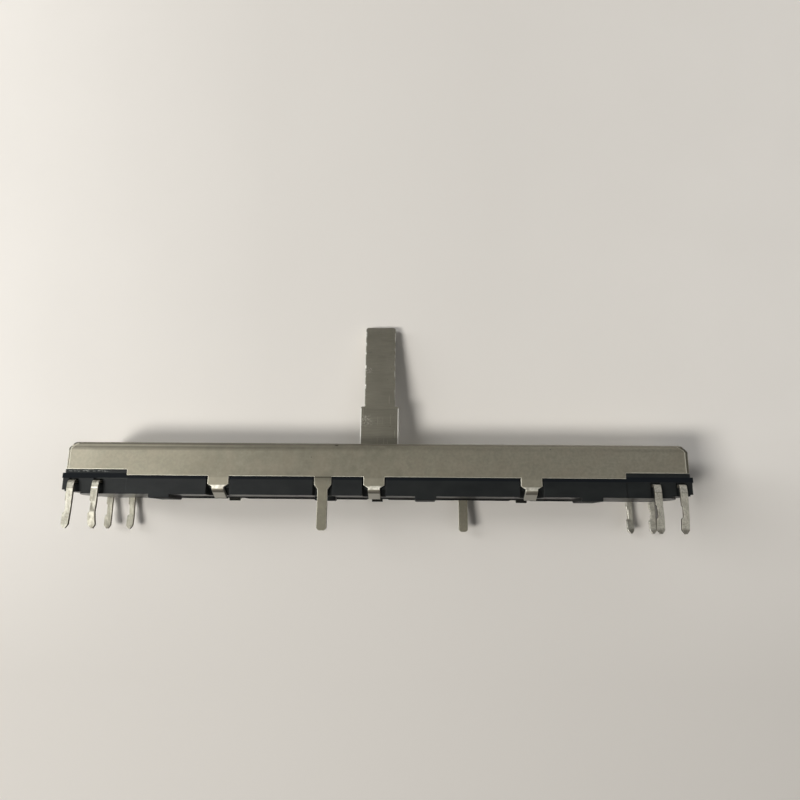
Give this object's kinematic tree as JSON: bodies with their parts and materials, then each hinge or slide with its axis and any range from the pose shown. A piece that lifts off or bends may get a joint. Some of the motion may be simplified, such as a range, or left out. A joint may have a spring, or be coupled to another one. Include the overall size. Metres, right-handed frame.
{
  "type": "slide potentiometer",
  "caption": "Slide potentiometer with a folded metal cover, a flat metal lever that slides along the cover's slot, and solder terminals at both ends.",
  "frame": {"origin": "centre of the cover's top face, midway between the two screw holes", "axes": "+X along the body and the lever's travel, +Z out of the top face along the lever, front is -Y"},
  "size_m": [0.075, 0.0106, 0.0263],
  "materials": {
    "cover_plate": "dull tin or nickel plate",
    "base_moulding": "moulded, dull",
    "board_laminate": "paper laminate",
    "carbon_print": "printed carbon",
    "silver_print": "printed silver",
    "terminal_plate": "bright tin plate",
    "carriage_moulding": "natural moulding",
    "lever_steel": "dull plate, faint brushing",
    "wiper_alloy": "spring alloy"
  },
  "bodies": {
    "housing": {"top_cover": "cover_plate", "base": "base_moulding", "element_board": "board_laminate", "resistive_track_front": "carbon_print", "resistive_track_rear": "carbon_print", "collector_track_front": "silver_print", "collector_track_rear": "silver_print", "terminal_front_1": "terminal_plate", "terminal_front_2": "terminal_plate", "terminal_front_3": "terminal_plate", "terminal_front_4": "terminal_plate", "terminal_rear_1": "terminal_plate", "terminal_rear_2": "terminal_plate", "terminal_rear_3": "terminal_plate", "terminal_rear_4": "terminal_plate"},
    "slider": {"slider_carriage": "carriage_moulding", "lever": "lever_steel", "wiper_front": "wiper_alloy", "wiper_rear": "wiper_alloy", "slider_spring": "wiper_alloy"}
  },
  "joints": [
    {"name": "slider_travel", "type": "slide", "parent": "housing", "child": "slider", "axis": [1, 0, 0], "range_m": [-0.0303, 0.0297]}
  ]
}
